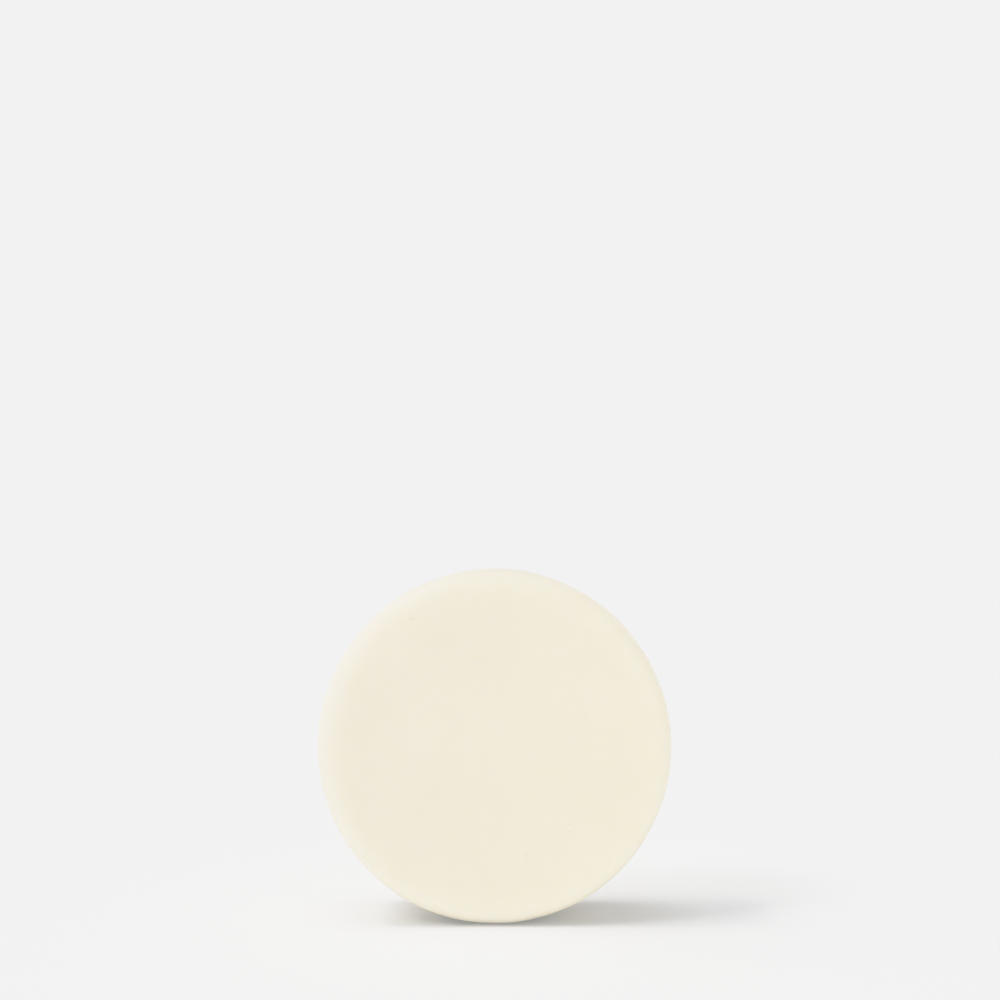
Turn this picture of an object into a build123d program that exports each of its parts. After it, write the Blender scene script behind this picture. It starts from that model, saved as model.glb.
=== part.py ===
from build123d import *
import os

# Shaving soap puck: one homogeneous moulded disc of hard shaving soap.
#
# Frame (millimetres): the puck stands on its rim. The origin is the lowest
# point of the rim, under the middle of the thickness. +Z is up, across the
# diameter. The disc's own axis is parallel to Y and passes at Z = radius.
# The lather face, which the brush works on, looks along -Y. The base face,
# which lies on the floor of a mug, bowl or dish, looks along +Y.

puck_diameter = 64.0       # across the rim
puck_thickness = 22.0      # lather face to base face
lather_edge_radius = 4.0   # soft moulded edge round the lather face
base_edge_radius = 1.6     # trimmed edge round the base face

puck_radius = puck_diameter / 2.0
half_thickness = puck_thickness / 2.0

os.makedirs("parts", exist_ok=True)

# The blank is turned about Z first, lather face up.
blank = Cylinder(radius=puck_radius, height=puck_thickness)
lather_edge = blank.edges().filter_by(GeomType.CIRCLE).sort_by(Axis.Z)[-1]
base_edge = blank.edges().filter_by(GeomType.CIRCLE).sort_by(Axis.Z)[0]
blank = fillet(lather_edge, lather_edge_radius)
base_edge = blank.edges().filter_by(GeomType.CIRCLE).sort_by(Axis.Z)[0]
blank = fillet(base_edge, base_edge_radius)

# Then it is stood on its rim: +Z of the blank turns to -Y, and the lowest
# point of the rim comes to the origin.
soap_puck = Pos(0, 0, puck_radius) * Rot(90, 0, 0) * blank
soap_puck.label = "soap_puck"

export_step(soap_puck, "parts/soap_puck.step")

box = soap_puck.bounding_box()
print("soap_puck volume mm3", round(soap_puck.volume, 1))
print("soap_puck box", box.min, box.max)
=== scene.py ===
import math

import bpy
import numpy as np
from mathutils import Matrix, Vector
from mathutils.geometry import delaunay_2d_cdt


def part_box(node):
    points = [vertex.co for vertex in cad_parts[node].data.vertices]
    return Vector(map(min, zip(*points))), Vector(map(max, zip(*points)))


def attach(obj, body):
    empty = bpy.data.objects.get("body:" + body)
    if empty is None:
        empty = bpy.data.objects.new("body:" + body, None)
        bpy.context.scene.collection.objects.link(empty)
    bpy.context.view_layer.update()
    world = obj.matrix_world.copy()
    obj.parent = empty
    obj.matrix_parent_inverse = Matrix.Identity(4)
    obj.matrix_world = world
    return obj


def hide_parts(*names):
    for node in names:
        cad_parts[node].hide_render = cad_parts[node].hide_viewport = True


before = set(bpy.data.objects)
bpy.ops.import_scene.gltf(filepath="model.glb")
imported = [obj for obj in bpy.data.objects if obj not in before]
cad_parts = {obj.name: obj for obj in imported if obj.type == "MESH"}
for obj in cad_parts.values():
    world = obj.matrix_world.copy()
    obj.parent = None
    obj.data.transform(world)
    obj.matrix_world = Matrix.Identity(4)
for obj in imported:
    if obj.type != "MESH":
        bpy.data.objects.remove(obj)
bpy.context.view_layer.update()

# Shaving soap puck, the visual model.
#
# The puck stands on its rim on a pale floor. The lather face looks along -Y,
# the base face along +Y, and +Z is up. Lengths inside the mesh code are in
# millimetres; every object is in metres, in the CAD frame.

MM = 0.001
low, high = (np.array(c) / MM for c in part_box("soap_puck"))
RADIUS = float(high[0] - low[0]) / 2          # 32 mm
THICK = float(high[1] - low[1])               # 22 mm
MID_Y = float(low[1] + high[1]) / 2
MID_Z = float(low[2] + high[2]) / 2

# ---------------------------------------------------------------- the form
# Meridian of the puck, from the middle of the lather face over the rim to
# the middle of the base face. Both edges are blends whose curvature grows and
# dies away smoothly, as on a moulded piece, and not plain circular arcs.

LATHER_EDGE = 5.0      # how far the lather edge's blend reaches in, mm
BASE_EDGE = 2.1        # the same at the base edge, mm
BLEND = 0.8            # 0 is a circular arc, 1 is the softest start and end


def corner(reach, steps=400):
    """Points and tangent angles of a quarter turn that reaches `reach` both ways."""
    u = np.linspace(0.0, 1.0, steps + 1)
    turn = (math.pi / 2) * (u - BLEND * np.sin(2 * math.pi * u) / (2 * math.pi))
    du = u[1] - u[0]
    across, along = np.cos(turn), np.sin(turn)
    x = np.concatenate(([0.0], np.cumsum((across[1:] + across[:-1]) / 2 * du)))
    y = np.concatenate(([0.0], np.cumsum((along[1:] + along[:-1]) / 2 * du)))
    scale = reach / x[-1]
    return u * scale, x * scale, y * scale, turn


def meridian():
    """Arc length, distance from the axis, height along the axis from the lather face, and tangent angle."""
    s1, x1, y1, t1 = corner(LATHER_EDGE)
    s2, x2, y2, t2 = corner(BASE_EDGE)
    flat1 = RADIUS - LATHER_EDGE
    flat2 = RADIUS - BASE_EDGE
    wall = THICK - LATHER_EDGE - BASE_EDGE
    s = [0.0]; rho = [0.0]; h = [0.0]; t = [0.0]
    s += list(flat1 + s1); rho += list(flat1 + x1); h += list(y1); t += list(t1)
    start = s[-1] + wall
    # the base corner is the lather corner's mirror image, run backwards
    length = s2[-1]
    s += list(start + (length - s2[::-1])); rho += list(flat2 + x2[::-1])
    h += list(THICK - y2[::-1]); t += list(math.pi - t2[::-1])
    s.append(s[-1] + flat2); rho.append(0.0); h.append(THICK); t.append(math.pi)
    return np.array(s), np.array(rho), np.array(h), np.array(t)


M_S, M_RHO, M_H, M_T = meridian()
TOTAL = float(M_S[-1])
LATHER_FLAT = RADIUS - LATHER_EDGE
LATHER_TURN = LATHER_FLAT + float(corner(LATHER_EDGE)[0][-1])
BASE_FLAT = RADIUS - BASE_EDGE
BASE_TURN = BASE_FLAT + float(corner(BASE_EDGE)[0][-1])
SPLIT = (LATHER_TURN + TOTAL - BASE_TURN) / 2      # middle of the rim's wall


def on_meridian(s):
    return (np.interp(s, M_S, M_RHO), np.interp(s, M_S, M_H), np.interp(s, M_S, M_T))


# ------------------------------------------------------------ small defects
# Every pit, nick and dent of the soap: where it lies, its two half-widths, the
# direction of the first, and its depth. `half` is 0 on the lather side and 1
# on the base side; places are polar, as arc length from the middle of that
# half's face and the angle about the axis seen from the lather side.

class Flaw:
    def __init__(self, half, s, angle, wide, narrow, turn, depth, lip=0.12, soft=1.5):
        self.half, self.s, self.angle = half, s, angle
        self.wide, self.narrow, self.turn = wide, narrow, turn
        self.depth, self.lip, self.soft = depth, lip, soft
        self.centre = np.array([s * math.cos(angle), s * math.sin(angle)])
        c, n = math.cos(turn), math.sin(turn)
        self.axes = np.array([[c, n], [-n, c]])

    def local(self, q):
        d = (q - self.centre) @ self.axes.T
        return d / np.array([self.wide, self.narrow])

    def lift(self, q):
        """Height change at points q: down inside, with a faint raised lip."""
        r = np.linalg.norm(self.local(q), axis=1)
        pit = -self.depth * np.clip(1 - r ** 2, 0, None) ** self.soft
        lip = self.lip * self.depth * np.exp(-((r - 1.15) / 0.22) ** 2)
        return pit + lip


def lather_at(x, z, *rest, **more):
    """A flaw on the flat of the lather face, x to the right and z up from its middle."""
    return Flaw(0, math.hypot(x, z), math.atan2(z, x), *rest, **more)


D = math.radians
flaws = [
    # the marks that show on the lather face; a negative depth is a raised speck
    lather_at(-14.9, 23.15, 0.52, 0.19, D(4), 0.110, lip=0.10),
    lather_at(-14.0, 23.35, 0.26, 0.22, D(30), -0.090, lip=0.20),
    lather_at(-10.5, 17.4, 0.55, 0.38, D(-20), 0.030, lip=0.05),
    lather_at(-2.42, 15.72, 0.30, 0.24, D(-35), -0.130, lip=0.30),
    lather_at(-3.12, 15.72, 0.22, 0.18, D(60), 0.120, lip=0.30),
    lather_at(22.35, 16.3, 0.52, 0.20, D(84), -0.090, lip=0.45),
    lather_at(0.2, -0.3, 0.34, 0.28, D(60), 0.040),
    lather_at(13.45, -14.3, 0.48, 0.25, D(6), -0.100, lip=0.45),
    lather_at(5.65, -18.8, 0.46, 0.52, D(20), 0.045, lip=0.10),
    lather_at(-2.12, 15.22, 0.19, 0.15, D(20), 0.100, lip=0.20),
    lather_at(13.4, -14.76, 0.38, 0.13, D(2), 0.080, lip=0.10),
    lather_at(-4.9, 20.7, 0.26, 0.20, D(30), 0.03),
    lather_at(-1.1, 22.9, 0.34, 0.18, D(-10), 0.03),
    lather_at(1.9, 22.5, 0.22, 0.18, D(45), 0.03),
    lather_at(8.3, 23.1, 0.30, 0.20, D(0), 0.03),
    lather_at(-6.3, 24.3, 0.20, 0.16, D(20), 0.03),
    lather_at(-2.2, 11.5, 0.22, 0.20, D(0), 0.03),
    lather_at(-19.1, 15.8, 0.28, 0.18, D(70), 0.03),
    lather_at(5.3, 3.1, 0.20, 0.17, D(15), 0.03),
]


def edge_nick(angle, inward, wide, narrow, depth):
    """A nick on the lather edge, `inward` mm inside the outline, long side along the edge."""
    s = float(np.interp(RADIUS - inward, M_RHO[M_T < math.pi / 2], M_S[M_T < math.pi / 2]))
    return Flaw(0, s, D(angle), wide, narrow, D(angle + 90), depth, lip=0.15, soft=1.2)


flaws += [
    edge_nick(59.8, 0.55, 0.75, 0.34, 0.13),
    edge_nick(57.2, 0.30, 0.45, 0.28, 0.10),
    edge_nick(32.9, 0.45, 0.40, 0.26, 0.09),
    edge_nick(21.2, 0.80, 0.60, 0.30, 0.09),
    edge_nick(13.2, 0.35, 0.42, 0.26, 0.08),
    edge_nick(5.6, 0.40, 0.85, 0.30, 0.08),
    edge_nick(-16.5, 0.40, 0.45, 0.28, 0.08),
    edge_nick(214.5, 0.70, 0.45, 0.28, 0.08),
    edge_nick(171.0, 0.60, 0.32, 0.24, 0.06),
    edge_nick(102.0, 0.50, 0.34, 0.22, 0.06),
]

# Bubbles and small knocks where they are not on show: sparse on the lather
# face, more on the rim and the base, where air collects in the mould.
pick = np.random.default_rng(20417)


def scatter(count, half, s_low, s_high, size_low, size_high, deep, apart=1.4):
    made = 0
    for _ in range(count * 40):
        if made == count:
            break
        s = math.sqrt(pick.uniform(s_low ** 2, s_high ** 2))
        a = pick.uniform(0, 2 * math.pi)
        size = size_low + (size_high - size_low) * pick.uniform() ** 2.2
        stretch = pick.uniform(0.72, 1.0)
        f = Flaw(half, s, a, size, size * stretch, pick.uniform(0, math.pi),
                 size * deep * pick.uniform(0.6, 1.1), lip=pick.uniform(0.02, 0.22))
        if all(g.half != half or np.linalg.norm(g.centre - f.centre) > apart + g.wide + f.wide
               for g in flaws):
            flaws.append(f)
            made += 1


SIDE_END = SPLIT - 0.8
BASE_END = TOTAL - SPLIT - 0.8
scatter(34, 0, 1.0, LATHER_FLAT - 0.5, 0.07, 0.19, 0.30)
scatter(16, 0, LATHER_TURN - 3.0, SIDE_END, 0.10, 0.34, 0.60)
scatter(46, 1, 1.0, BASE_FLAT - 1.0, 0.10, 0.42, 0.60)
scatter(20, 1, BASE_TURN + 0.2, BASE_END, 0.10, 0.34, 0.60)

# ------------------------------------------------------------ the mesh points


def spacing(s, flat, turn):
    """Distance between mesh points at arc length s: fine on the edge's blend."""
    return float(np.interp(s, [0, flat - 3.0, flat + 0.3, turn, turn + 1.5, turn + 4.0],
                           [0.95, 0.90, 0.42, 0.46, 0.60, 0.72]))


class Cloud:
    """Points in a plane, kept a local distance apart."""

    def __init__(self, cell=0.5):
        self.cell, self.grid, self.points = cell, {}, []

    def add(self, p, gap, force=False):
        i, j = int(math.floor(p[0] / self.cell)), int(math.floor(p[1] / self.cell))
        if not force:
            reach = int(math.ceil(gap / self.cell))
            g2 = gap * gap
            for a in range(i - reach, i + reach + 1):
                for b in range(j - reach, j + reach + 1):
                    for q in self.grid.get((a, b), ()):
                        if (q[0] - p[0]) ** 2 + (q[1] - p[1]) ** 2 < g2:
                            return False
        self.grid.setdefault((i, j), []).append((p[0], p[1]))
        self.points.append((p[0], p[1]))
        return True


RIM_COUNT = 360
rim_angles = np.arange(RIM_COUNT) * 2 * math.pi / RIM_COUNT


def half_points(half):
    """The mesh points of one half, unrolled flat: the rim ring first."""
    flat, turn = (LATHER_FLAT, LATHER_TURN) if half == 0 else (BASE_FLAT, BASE_TURN)
    end = SPLIT if half == 0 else TOTAL - SPLIT
    cloud = Cloud()
    for a in rim_angles:
        cloud.add((end * math.cos(a), end * math.sin(a)), 0, force=True)
    # flaws: close rings that open out until they match their surroundings
    ratios = np.array([0.0, 0.28, 0.52, 0.74, 0.92, 1.08, 1.26, 1.55])
    for f in (g for g in flaws if g.half == half):
        here = spacing(f.s, flat, turn)
        reach = math.sqrt(f.wide * f.narrow)
        rs = list(ratios)
        step = 0.36
        while (rs[-1] + step) * reach < 2.0 and step * reach < here:
            rs.append(rs[-1] + step)
            step *= 1.4
        for k, r in enumerate(rs):
            gap_r = (rs[k] - rs[k - 1]) if k else 0.3
            gap_r = max(gap_r, 0.18)
            count = 1 if r == 0 else max(6, int(round(2 * math.pi * r / min(gap_r * 1.15, 0.9))))
            # long flaws turn into round rings as they open out
            wide = reach + (f.wide - reach) * min(1.0, 1.6 / max(r, 1.6))
            narrow = reach + (f.narrow - reach) * min(1.0, 1.6 / max(r, 1.6))
            for m in range(count):
                a = 2 * math.pi * (m + 0.5 * (k % 2)) / count
                v = np.array([wide * r * math.cos(a), narrow * r * math.sin(a)]) @ f.axes
                p = f.centre + v
                if math.hypot(*p) < end - 0.35:
                    cloud.add(p, 0.55 * gap_r * min(wide, narrow))
    # the rest: concentric rings from the rim inwards
    s, k = end, 0
    while True:
        step = spacing(s, flat, turn)
        s -= step * 0.92
        k += 1
        if s < step * 0.4:
            cloud.add((0.0, 0.0), step * 0.5)
            break
        rho = float(on_meridian(np.array([s if half == 0 else TOTAL - s]))[0][0])
        count = max(6, int(round(2 * math.pi * rho / step)))
        for m in range(count):
            a = 2 * math.pi * (m + 0.5 * (k % 2)) / count + 0.37 * k
            cloud.add((s * math.cos(a), s * math.sin(a)), step * 0.62)
    return np.array(cloud.points)


def triangles(q):
    """Delaunay triangles of the points, anticlockwise."""
    out = delaunay_2d_cdt([Vector(p) for p in q], [], [], 0, 1e-6, True)
    coords, _, faces, source = out[0], out[1], out[2], out[3]
    to_source = np.array([o[0] if o else -1 for o in source])
    if (to_source < 0).any() or len(to_source) != len(q):
        raise RuntimeError("the triangulation changed the points")
    tri = to_source[np.array([list(f) for f in faces if len(f) == 3])]
    a, b, c = q[tri[:, 0]], q[tri[:, 1]], q[tri[:, 2]]
    area = (b[:, 0] - a[:, 0]) * (c[:, 1] - a[:, 1]) - (b[:, 1] - a[:, 1]) * (c[:, 0] - a[:, 0])
    tri[area < 0] = tri[area < 0][:, ::-1]
    return tri[np.abs(area) > 1e-7]


def swell(p, wavelength, height, count, seed):
    """Smooth unevenness of about one wavelength: waves in random directions, in 3-D, so nothing seams."""
    g = np.random.default_rng(seed)
    d = g.normal(size=(count, 3))
    d /= np.linalg.norm(d, axis=1, keepdims=True)
    k = 2 * math.pi / (wavelength * g.uniform(0.7, 1.5, count))
    phase = g.uniform(0, 2 * math.pi, count)
    return height * math.sqrt(2 / count) * np.sin((p @ d.T) * k + phase).sum(axis=1)


def runs(angle):
    """Height of the faint ridges on the rim, which follow the angle only."""
    g = np.random.default_rng(16)
    turns = g.integers(18, 90, 26)
    phase = g.uniform(0, 2 * math.pi, 26)
    return 0.013 * math.sqrt(2 / 26) * np.sin(np.outer(angle, turns) + phase).sum(axis=1)


def surface(q, half):
    """Points in space (mm) for unrolled points of one half, with the masks that the material reads."""
    r = np.linalg.norm(q, axis=1)
    angle = np.arctan2(q[:, 1], q[:, 0])
    s = r if half == 0 else TOTAL - r
    rho, h, t = on_meridian(s)
    c, n = np.cos(angle), np.sin(angle)
    base = np.stack([rho * c, h - THICK / 2, rho * n], axis=1)
    # outward normal: the meridian's tangent turned by a quarter
    out_r, out_y = np.sin(t), -np.cos(t)
    normal = np.stack([out_r * c, out_y, out_r * n], axis=1)
    on_edge0 = np.exp(-((s - (LATHER_FLAT + LATHER_TURN) / 2) / 2.2) ** 2)
    on_edge1 = np.exp(-((s - (TOTAL - (BASE_FLAT + BASE_TURN) / 2)) / 1.3) ** 2)
    lift = swell(base, 26.0, 0.040, 14, 11) + swell(base, 9.0, 0.012, 22, 12)
    # the lather edge is a touch uneven, the trimmed base edge more so
    lift += on_edge0 * swell(base, 7.0, 0.030, 18, 13)
    lift += on_edge1 * (swell(base, 6.0, 0.024, 24, 14) + swell(base, 1.9, 0.010, 28, 15) - 0.03)
    # both faces are a touch crowned, as pressed soap is
    crown = np.clip(1 - (rho / LATHER_FLAT) ** 2, 0, None)
    lift += np.where(t < 0.02, 0.10 * crown, 0.0) + np.where(t > math.pi - 0.02, 0.05 * crown, 0.0)
    # the mould's wall leaves faint runs along the axis on the rim
    wall = np.clip((s - LATHER_TURN + 0.8) / 1.6, 0, 1) * np.clip((TOTAL - BASE_TURN + 0.8 - s) / 1.6, 0, 1)
    lift += wall * runs(angle)
    back = np.clip((s - (TOTAL - BASE_FLAT) + 1.5) / 3.0, 0, 1)
    pit, fleck = np.zeros(len(q)), np.zeros(len(q))
    for f in (g for g in flaws if g.half == half):
        near = np.linalg.norm(q - f.centre, axis=1) < 2.2 * f.wide + 0.3
        if near.any():
            d = f.lift(q[near])
            lift[near] += d
            pit[near] = np.maximum(pit[near], np.clip(-d / max(f.depth, 1e-6), 0, 1)
                                   * min(1.0, f.depth / 0.10))
            if f.depth < 0:
                fleck[near] = np.maximum(fleck[near], np.clip(d / -f.depth, 0, 1))
    p = base + normal * lift[:, None] + np.array([0.0, MID_Y, MID_Z])
    return p, np.clip(on_edge0 + on_edge1, 0, 1), pit, fleck, wall, back


q0, q1 = half_points(0), half_points(1)
t0, t1 = triangles(q0), triangles(q1)
p0, *masks0 = surface(q0, 0)
p1, *masks1 = surface(q1, 1)

# The two halves share the rim ring, which comes first in both.
p0[:RIM_COUNT] = (p0[:RIM_COUNT] + p1[:RIM_COUNT]) / 2
index1 = np.concatenate([np.arange(RIM_COUNT), np.arange(len(p1) - RIM_COUNT) + len(p0)])
points = np.concatenate([p0, p1[RIM_COUNT:]])
masks = [np.concatenate([one, two[RIM_COUNT:]]) for one, two in zip(masks0, masks1)]
faces = np.concatenate([t0, index1[t1][:, ::-1]])

# The puck stands on its rim, so its lowest point is on the floor, flattened
# there by its own weight over the years to a hair's breadth.
floor_z = float(low[2])
points[:, 2] += floor_z - points[:, 2].min()
points[:, 2] = np.maximum(points[:, 2], floor_z + 0.03)
points[:, 2] -= 0.03

mesh = bpy.data.meshes.new("soap_puck_body")
mesh.from_pydata((points * MM).tolist(), [], faces.tolist())
mesh.update()
mesh.polygons.foreach_set("use_smooth", [True] * len(mesh.polygons))
for name, values in zip(("edge", "pit", "fleck", "wall", "back"), masks):
    attribute = mesh.attributes.new(name, "FLOAT", "POINT")
    attribute.data.foreach_set("value", values.astype(np.float32))
mesh.validate()

loose = {}
for e in mesh.loops:
    loose[e.edge_index] = loose.get(e.edge_index, 0) + 1
open_edges = sum(1 for v in loose.values() if v != 2)
a, b, c = (points[faces[:, i]] for i in range(3))
volume = float(np.einsum("ij,ij->i", a, np.cross(b, c)).sum() / 6) / 1000
print("puck mesh:", len(mesh.vertices), "points,", len(mesh.polygons), "triangles,",
      open_edges, "open edges,", round(volume, 2), "cm3")

puck = bpy.data.objects.new("soap_puck_body", mesh)
bpy.context.scene.collection.objects.link(puck)

# ------------------------------------------------------------- the material


def node(tree, kind, place, **inputs):
    n = tree.nodes.new(kind)
    n.location = place
    for key, value in inputs.items():
        n.inputs[key.replace("_", " ")].default_value = value
    return n


def soap_material():
    m = bpy.data.materials.new("ivory_soap")
    m.use_nodes = True
    tree = m.node_tree
    tree.nodes.clear()
    link = tree.links.new
    out = tree.nodes.new("ShaderNodeOutputMaterial"); out.location = (1400, 0)
    soap = tree.nodes.new("ShaderNodeBsdfPrincipled"); soap.location = (1050, 0)
    link(soap.outputs["BSDF"], out.inputs["Surface"])
    soap.inputs["IOR"].default_value = 1.46
    soap.inputs["Subsurface Weight"].default_value = 0.7
    soap.inputs["Subsurface Radius"].default_value = (1.0, 0.8, 0.55)
    soap.inputs["Subsurface Scale"].default_value = 0.004

    place = tree.nodes.new("ShaderNodeTexCoord"); place.location = (-1400, 0)
    at = place.outputs["Object"]

    def noise(where, scale, detail, rough, distortion=0.0):
        n = tree.nodes.new("ShaderNodeTexNoise"); n.location = where
        n.inputs["Scale"].default_value = scale
        n.inputs["Detail"].default_value = detail
        n.inputs["Roughness"].default_value = rough
        n.inputs["Distortion"].default_value = distortion
        link(at, n.inputs["Vector"])
        return n.outputs["Fac"]

    def ramp(where, source, low_in, high_in, low_out, high_out):
        n = tree.nodes.new("ShaderNodeMapRange"); n.location = where
        n.interpolation_type = "SMOOTHSTEP"
        for key, value in zip(("From Min", "From Max", "To Min", "To Max"),
                              (low_in, high_in, low_out, high_out)):
            n.inputs[key].default_value = value
        link(source, n.inputs["Value"])
        return n.outputs["Result"]

    def maths(where, what, one, two=None):
        n = tree.nodes.new("ShaderNodeMath"); n.location = where
        n.operation = what
        for i, v in enumerate((one, two)):
            if v is None:
                continue
            if isinstance(v, (int, float)):
                n.inputs[i].default_value = v
            else:
                link(v, n.inputs[i])
        return n.outputs[0]

    def blend(where, factor, one, two):
        n = tree.nodes.new("ShaderNodeMix"); n.location = where
        n.data_type = "RGBA"
        for i, v in ((6, one), (7, two)):
            if isinstance(v, tuple):
                n.inputs[i].default_value = v
            else:
                link(v, n.inputs[i])
        link(factor, n.inputs[0])
        return n.outputs[2]

    def mask(where, name):
        n = tree.nodes.new("ShaderNodeAttribute"); n.location = where
        n.attribute_name = name
        return n.outputs["Fac"]

    edge = mask((-1400, -500), "edge")
    pit = mask((-1400, -700), "pit")
    fleck = mask((-1400, -850), "fleck")
    wall = mask((-1400, -1400), "wall")
    back = mask((-1400, -1600), "back")

    def drawn(where, turn, stretch, scale, detail, rough):
        """Noise drawn out along one direction, for marks that all run the same way."""
        n = tree.nodes.new("ShaderNodeMapping"); n.location = (where[0] - 200, where[1])
        n.inputs["Rotation"].default_value = turn
        n.inputs["Scale"].default_value = stretch
        link(at, n.inputs["Vector"])
        out = noise(where, scale, detail, rough)
        link(n.outputs["Vector"], out.node.inputs["Vector"])
        return out

    # the rim's runs along the axis, and the marks of sliding in a dish, which
    # run two ways and come in patches
    runs_fine = drawn((-1100, -1400), (0, 0, 0), (1.0, 0.05, 1.0), 620.0, 3.0, 0.55)
    cuts = []
    for i, (turn, density) in enumerate(((24, 520.0), (-38, 640.0))):
        slide = drawn((-1100, -1700 - 300 * i), (0, D(turn), 0), (0.035, 1.0, 1.0), density, 2.0, 0.5)
        off = maths((-1000, -1700 - 300 * i), "ABSOLUTE",
                    maths((-1050, -1700 - 300 * i), "SUBTRACT", slide, 0.5))
        groove = ramp((-900, -1700 - 300 * i), off, 0.0, 0.020, 1.0, 0.0)
        worn = ramp((-900, -1850 - 300 * i), noise((-1100, -1850 - 300 * i), 48.0 + 20 * i, 2.0, 0.5),
                    0.46, 0.64, 0.0, 1.0)
        cuts.append(maths((-700, -1700 - 300 * i), "MULTIPLY", groove, worn))

    # colour: ivory, mottled where the soap cooled at different speeds
    cloud = ramp((-900, 400), noise((-1100, 400), 55.0, 3.0, 0.5, 0.4), 0.3, 0.7, 0.0, 1.0)
    grain = ramp((-900, 150), noise((-1100, 150), 420.0, 4.0, 0.55), 0.35, 0.65, 0.0, 1.0)
    colour = blend((-600, 400), cloud, (0.838, 0.760, 0.614, 1), (0.859, 0.779, 0.635, 1))
    colour = blend((-400, 400), maths((-600, 150), "MULTIPLY", grain, 0.30), colour,
                   (0.867, 0.794, 0.664, 1))
    # painted sheen: the rounded edges are coloured paler all round, partly for the sheen of light on the
    # rounding, partly for soap dried paler there
    edge_sheen_and_dried_paler = maths((-600, -350), "MULTIPLY", edge, 0.30)
    colour = blend((-200, 400), edge_sheen_and_dried_paler, colour, (0.871, 0.809, 0.686, 1))
    # painted shade: the pits are coloured darker, for the shade that falls in them
    pit_painted_shade = maths((-600, -650), "MULTIPLY", pit, 0.60)
    colour = blend((0, 400), pit_painted_shade, colour, (0.700, 0.655, 0.570, 1))
    # painted highlight: the raised specks are coloured paler, for the light they catch
    colour = blend((50, 400), maths((-600, -800), "MULTIPLY", fleck, 0.75), colour,
                   (0.970, 0.900, 0.715, 1))
    # the base: patches that stayed damp in the dish, and paler scuffs
    damp = ramp((-900, 950), noise((-1100, 950), 62.0, 4.0, 0.55, 0.5), 0.42, 0.62, 0.0, 0.55)
    colour = blend((100, 400), maths((-600, 950), "MULTIPLY", damp, back), colour,
                   (0.822, 0.738, 0.592, 1))
    scuffed = maths((-500, 1100), "MULTIPLY", back,
                    maths((-600, 1100), "MULTIPLY", maths((-700, 1100), "MAXIMUM", *cuts), 0.38))
    colour = blend((150, 400), scuffed, colour, (0.900, 0.850, 0.760, 1))
    # the rim: thin paler lines where it rubbed along the mould
    rubbed = maths((-600, 1300), "MULTIPLY", wall,
                   ramp((-900, 1300), runs_fine, 0.48, 0.68, 0.0, 0.30))
    colour = blend((200, 400), rubbed, colour, (0.890, 0.836, 0.745, 1))
    # the colour grows a little paler from left (-X) to right (+X) across the whole puck
    split = tree.nodes.new("ShaderNodeSeparateXYZ"); split.location = (-1200, 700)
    link(at, split.inputs[0])
    across = tree.nodes.new("ShaderNodeMapRange"); across.location = (-900, 700)
    across.inputs["From Min"].default_value = -RADIUS * MM
    across.inputs["From Max"].default_value = RADIUS * MM
    link(split.outputs["X"], across.inputs["Value"])
    paler_towards_right = blend((0, 700), across.outputs["Result"], (0.983, 0.985, 1.008, 1), (1.045, 1.037, 1.026, 1))
    both = tree.nodes.new("ShaderNodeMix"); both.location = (300, 500)
    both.data_type = "RGBA"
    both.blend_type = "MULTIPLY"
    both.inputs[0].default_value = 1.0
    link(colour, both.inputs[6])
    link(paler_towards_right, both.inputs[7])
    link(both.outputs[2], soap.inputs["Base Color"])

    # gloss: satin, with handled patches a little smoother
    handled = ramp((-900, -100), noise((-1100, -100), 80.0, 4.0, 0.6, 0.6), 0.35, 0.68, 0.40, 0.50)
    fine = ramp((-900, -300), noise((-1100, -300), 900.0, 3.0, 0.6), 0.3, 0.7, -0.025, 0.025)
    rough = maths((-600, -100), "ADD", handled, fine)
    # the rim's runs catch the light unevenly, and the base is duller from standing on it
    rough = maths((-400, -100), "ADD", rough,
                  maths((-600, -250), "MULTIPLY", wall,
                        ramp((-900, -1400), runs_fine, 0.3, 0.7, -0.05, 0.05)))
    rough = maths((-200, -100), "ADD", rough, maths((-400, -250), "MULTIPLY", back, 0.05))
    link(rough, soap.inputs["Roughness"])

    # bump: waxy grain and the finest pores
    skin = noise((-1100, -900), 700.0, 5.0, 0.6)
    pores = tree.nodes.new("ShaderNodeTexVoronoi"); pores.location = (-1100, -1150)
    pores.inputs["Scale"].default_value = 620.0
    link(at, pores.inputs["Vector"])
    pore = ramp((-900, -1150), pores.outputs["Distance"], 0.0, 0.16, 1.0, 0.0)
    height = maths((-600, -900), "SUBTRACT", maths((-750, -900), "MULTIPLY", skin, 0.000022),
                   maths((-750, -1100), "MULTIPLY", pore, 0.000018))
    height = maths((-400, -900), "ADD", height,
                   maths((-600, -1400), "MULTIPLY", wall,
                         maths((-750, -1400), "MULTIPLY", runs_fine, 0.00011)))
    # the lather face is worked smooth by the brush, so it keeps only a trace
    deep = ramp((-700, -1850), back, 0.0, 1.0, 0.000004, 0.000050)
    for i, cut in enumerate(cuts):
        height = maths((-300 + 100 * i, -900), "SUBTRACT", height,
                       maths((-500, -1700 - 300 * i), "MULTIPLY", cut, deep))
    bump = tree.nodes.new("ShaderNodeBump"); bump.location = (700, -600)
    bump.inputs["Strength"].default_value = 1.0
    bump.inputs["Distance"].default_value = 1.0
    link(height, bump.inputs["Height"])
    link(bump.outputs["Normal"], soap.inputs["Normal"])
    return m


mesh.materials.append(soap_material())
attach(puck, "root")
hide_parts("soap_puck")

# ------------------------------------------------------ floor, light, camera

PALE = 0.9956           # radiance of the lit floor and of the backdrop: after the
#                         shoulder below, the same pale grey
FLOOR_COLOUR = 0.83

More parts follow.
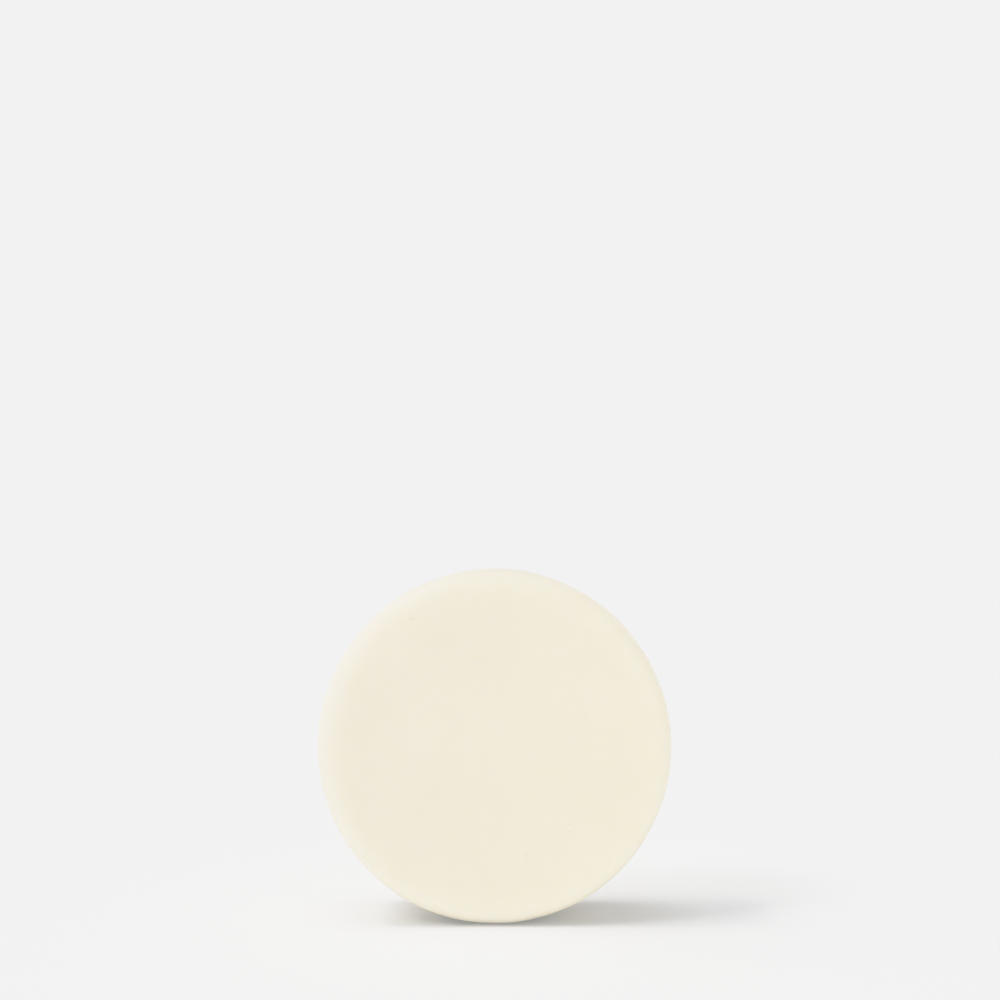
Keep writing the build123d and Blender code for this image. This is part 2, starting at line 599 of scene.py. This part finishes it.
plane = bpy.data.meshes.new("floor")
plane.from_pydata([(-20, -20, 0), (20, -20, 0), (20, 20, 0), (-20, 20, 0)], [], [(0, 1, 2, 3)])
floor = bpy.data.objects.new("floor", plane)
bpy.context.scene.collection.objects.link(floor)
matte = bpy.data.materials.new("pale_floor")
matte.use_nodes = True
matte.node_tree.nodes.clear()
out = matte.node_tree.nodes.new("ShaderNodeOutputMaterial")
body = matte.node_tree.nodes.new("ShaderNodeBsdfDiffuse")
body.inputs["Color"].default_value = (FLOOR_COLOUR, FLOOR_COLOUR, FLOOR_COLOUR, 1)
matte.node_tree.links.new(body.outputs[0], out.inputs["Surface"])
plane.materials.append(matte)

AMBIENT = 0.50
world = bpy.data.worlds.new("studio")
bpy.context.scene.world = world
world.use_nodes = True
tree = world.node_tree
tree.nodes.clear()
out = tree.nodes.new("ShaderNodeOutputWorld")
rays = tree.nodes.new("ShaderNodeLightPath")
seen = tree.nodes.new("ShaderNodeBackground")
seen.name = "seen"
seen.inputs["Color"].default_value = (PALE, PALE, PALE, 1)
around = tree.nodes.new("ShaderNodeBackground")
around.name = "around"
around.inputs["Color"].default_value = (1, 1, 1, 1)
around.inputs["Strength"].default_value = AMBIENT
either = tree.nodes.new("ShaderNodeMixShader")
tree.links.new(rays.outputs["Is Camera Ray"], either.inputs[0])
tree.links.new(around.outputs[0], either.inputs[1])
tree.links.new(seen.outputs[0], either.inputs[2])
tree.links.new(either.outputs[0], out.inputs["Surface"])

# Wide, soft, far lights. Some are flagged off the floor and some off the
# puck, as a studio does with cards, so that the floor stays one even tone.
only_puck = bpy.data.collections.new("lit_puck")
only_puck.objects.link(puck)
only_floor = bpy.data.collections.new("lit_floor")
only_floor.objects.link(floor)


def soft_light(name, azimuth, elevation, width, strength, lights, colour=(1, 1, 1), blockers=None):
    """A far light. Azimuth 0 is the front (-Y), 90 the left (-X), 180 the back; width is its angle across."""
    data = bpy.data.lights.new(name, "SUN")
    data.energy = strength * math.pi
    data.angle = math.radians(width)
    data.color = colour
    lamp = bpy.data.objects.new(name, data)
    a, e = math.radians(azimuth), math.radians(elevation)
    to_lamp = Vector((-math.sin(a) * math.cos(e), -math.cos(a) * math.cos(e), math.sin(e)))
    lamp.location = to_lamp
    lamp.rotation_mode = "QUATERNION"
    lamp.rotation_quaternion = to_lamp.to_track_quat("Z", "Y")
    lamp.light_linking.receiver_collection = lights
    if blockers is not None:
        lamp.light_linking.blocker_collection = blockers
    bpy.context.scene.collection.objects.link(lamp)
    return lamp


# on the floor: a key from the left, a touch warm, and a cool even fill; where
# both reach, they add up to a neutral grey
soft_light("floor_key", 84, 64, 16, 0.136, only_floor, (1.13, 1.0, 0.87))
soft_light("floor_key_core", 84, 64, 4, 0.041, only_floor)
soft_light("floor_front_left", 60, 48, 16, 0.157, only_floor)
soft_light("floor_back_left", 120, 60, 40, 0.047, only_floor)
soft_light("floor_top", 0, 88, 30, 0.149, only_floor)
soft_light("floor_wide", 90, 60, 60, 0.123, only_floor)
soft_light("floor_even", 0, 89, 20, 0.1287, only_floor, (0.877, 1.0, 1.123), blockers=only_floor)
# on the puck
soft_light("key", 88, 60, 11, 0.193, only_puck)
soft_light("left_low", 90, 15, 60, 0.107, only_puck)
soft_light("left_front", 50, 30, 60, 0.118, only_puck)
soft_light("left_back", 125, 20, 60, 0.044, only_puck)
soft_light("top", 0, 88, 80, 0.107, only_puck)
soft_light("front", 0, 15, 60, 0.063, only_puck)
soft_light("front_left_low", 30, 0, 30, 0.170, only_puck)
soft_light("front_right_low", -30, 0, 30, 0.091, only_puck)
soft_light("front_right_wide", -35, 5, 50, 0.089, only_puck)
soft_light("right_front", -60, 10, 40, 0.045, only_puck)
soft_light("right_high", -70, 45, 50, 0.028, only_puck)
soft_light("right", -80, 20, 60, 0.024, only_puck)
# these stand for light thrown up by the floor nearer the camera
soft_light("from_floor_left", 50, -30, 60, 0.020, only_puck, blockers=only_puck)
soft_light("from_floor_front", 0, -40, 40, 0.036, only_puck, blockers=only_puck)
soft_light("back_left", 150, 20, 60, 0.135, only_puck)
soft_light("back_right", -140, 20, 60, 0.190, only_puck)

# The lens looks level along +Y from just above the top of the puck, and the
# frame is shifted up so that the puck stands low in it.
camera_data = bpy.data.cameras.new("camera")
camera_data.sensor_width = 36.0
camera_data.lens = 54.54
camera_data.shift_y = 0.065
camera_data.clip_start, camera_data.clip_end = 0.01, 20.0
camera = bpy.data.objects.new("camera", camera_data)
camera.location = (0.00103, (MID_Y - THICK / 2) * MM - 0.270, 0.0647)
camera.rotation_euler = (math.radians(90), 0, 0)
bpy.context.scene.collection.objects.link(camera)
bpy.context.scene.camera = camera

# The film's shoulder: linear up to the knee, then easing towards white, so
# that nothing pale burns out.
KNEE = 0.70


def shoulder(x):
    return x if x <= KNEE else KNEE + (1 - KNEE) * (1 - math.exp(-(x - KNEE) / (1 - KNEE)))


look = bpy.context.scene.view_settings
look.view_transform = "Standard"
look.use_curve_mapping = True
curves = look.curve_mapping
curves.clip_max_x, curves.clip_max_y = 4.0, 1.0
curves.use_clip = True
curve = curves.curves[3]
curve.points[0].location = (0.0, 0.0)
curve.points[-1].location = (4.0, shoulder(4.0))
for x in (0.35, 0.70, 0.78, 0.88, 1.0, 1.15, 1.35, 1.6, 2.0, 2.6):
    curve.points.new(x, shoulder(x))
curves.update()

bpy.context.view_layer.update()
